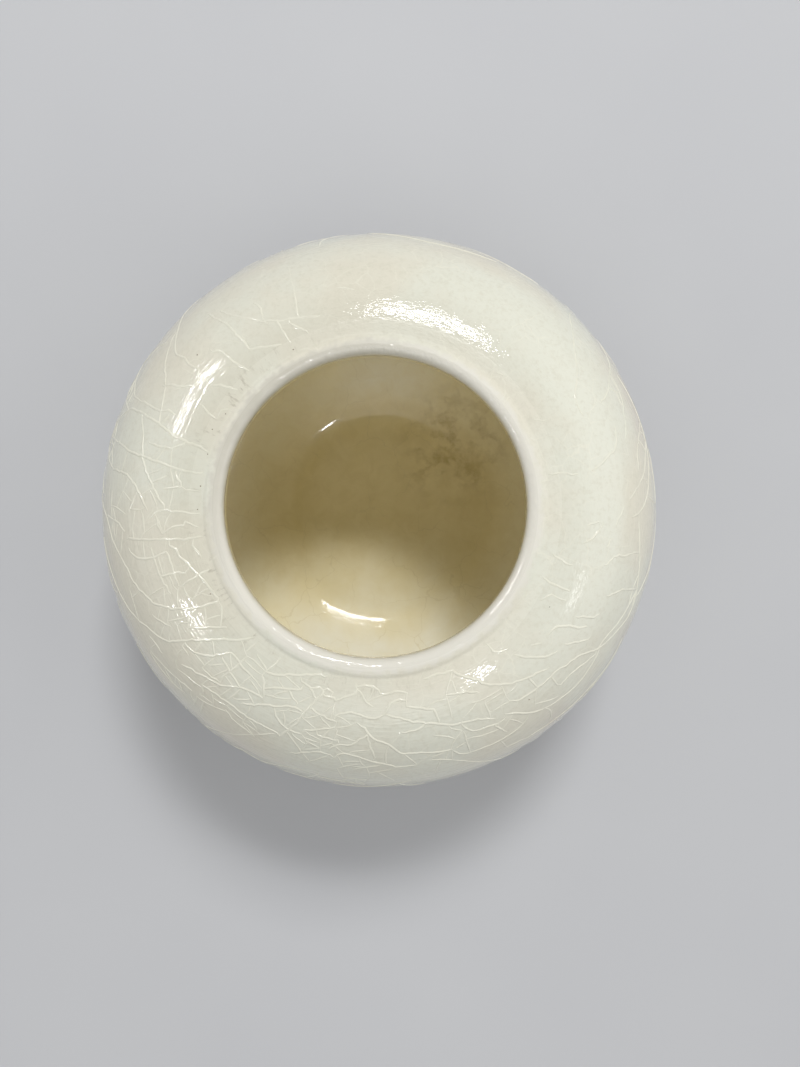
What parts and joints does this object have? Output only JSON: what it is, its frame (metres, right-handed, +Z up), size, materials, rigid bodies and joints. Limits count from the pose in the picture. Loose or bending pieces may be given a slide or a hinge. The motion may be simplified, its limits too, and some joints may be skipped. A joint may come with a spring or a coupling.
{
  "type": "porcelain jar",
  "caption": "Squat round porcelain jar with a wide mouth, a low soft lip, a low foot ring, and a cream glaze crackled all over. Open at the top, for water or small things.",
  "frame": {"origin": "centre of the flat face under the foot ring, on the surface that the jar stands on", "axes": "+Z up along the jar's axis; +X and +Y lie across the mouth, and the jar is the same all round"},
  "size_m": [0.09, 0.09, 0.057],
  "materials": {
    "porcelain_body": "bare fired stoneware-like porcelain, matt, seen only on the underside of the foot ring",
    "cream_crackle_glaze": "thick glossy cream-white glaze with fine orange peel and a raised pale crackle",
    "amber_inner_glaze": "glossy cream glaze that pools warmer towards the floor, with fine brown craze lines",
    "cream_base_glaze": "glossy cream-white glaze in the hollow inside the foot ring"
  },
  "bodies": {
    "root": {"foot_ring": "porcelain_body", "lower_bowl": "porcelain_body", "shoulder": "porcelain_body", "lip": "porcelain_body", "outer_glaze": "cream_crackle_glaze", "inner_glaze": "amber_inner_glaze", "base_glaze": "cream_base_glaze"}
  },
  "joints": []
}
